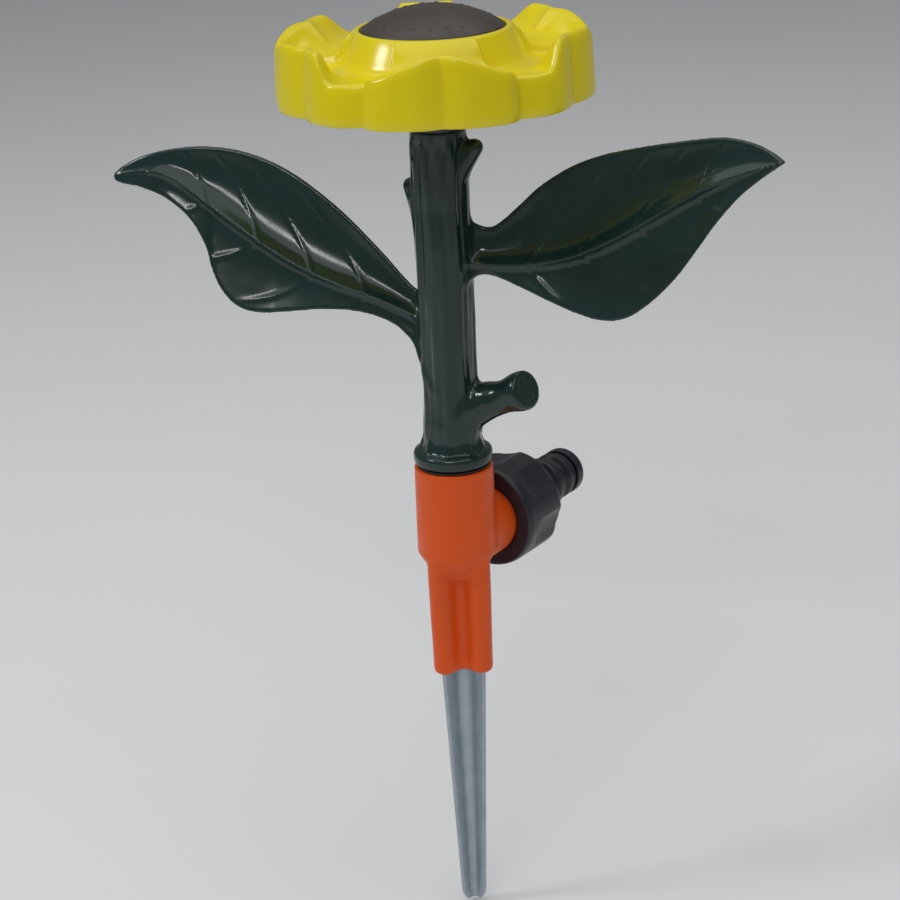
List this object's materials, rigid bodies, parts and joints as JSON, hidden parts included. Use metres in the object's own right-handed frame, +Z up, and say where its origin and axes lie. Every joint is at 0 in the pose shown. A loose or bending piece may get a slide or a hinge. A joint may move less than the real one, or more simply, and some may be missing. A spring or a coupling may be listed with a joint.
{
  "type": "garden sprinkler",
  "caption": "Decorative flower-shaped garden sprinkler with a perforated spray dome, a leafed stem, a side hose inlet and a steel ground spike.",
  "frame": {"origin": "on the stem's axis at the ground line, at the lower end of the spike holder", "axes": "+Z up along the stem, +Y along the hose inlet, towards the hose"},
  "size_m": [0.2398, 0.132, 0.3498],
  "materials": {
    "orange_plastic": "semi-gloss moulded plastic",
    "green_plastic": "high-gloss moulded plastic",
    "yellow_plastic": "high-gloss moulded plastic",
    "brown_plastic": "fine-grained matt moulded plastic",
    "black_plastic": "satin moulded plastic",
    "white_plastic": "satin moulded plastic",
    "rubber": "matt rubber",
    "galvanised_steel": "dull zinc-coated sheet steel"
  },
  "bodies": {
    "base": {"base_body": "orange_plastic", "ground_spike": "galvanised_steel", "flange_washer": "rubber", "inlet_filter": "white_plastic"},
    "stem_and_head": {"stem": "green_plastic", "stem_o_ring_upper": "rubber", "stem_o_ring_lower": "rubber", "stem_retaining_ring": "galvanised_steel", "flower_shell": "yellow_plastic", "spray_rose": "brown_plastic", "rose_seal": "rubber", "water_cup": "black_plastic", "cup_screw_1": "galvanised_steel", "cup_screw_2": "galvanised_steel", "cup_screw_3": "galvanised_steel", "head_washer": "rubber"},
    "washer_carrier": {"connector_washer": "rubber"},
    "hose_connector": {"tap_connector": "black_plastic", "nipple_o_ring": "rubber"}
  },
  "joints": [
    {"name": "stem_swivel", "type": "hinge", "parent": "base", "child": "stem_and_head", "pos_m": [0, 0, 0.07], "axis": [0, 0, 1], "continuous": true},
    {"name": "connector_advance", "type": "slide", "parent": "base", "child": "washer_carrier", "axis": [0, 1, 0], "range_m": [0, 0.00545]},
    {"name": "connector_unscrew", "type": "hinge", "parent": "washer_carrier", "child": "hose_connector", "pos_m": [0, 0.03, 0.0524], "axis": [0, 1, 0], "range_deg": [0, 1080]}
  ],
  "couplings": [
    {"joint": "connector_advance", "follows": "connector_unscrew", "m_per_rad": 0.0002887}
  ]
}
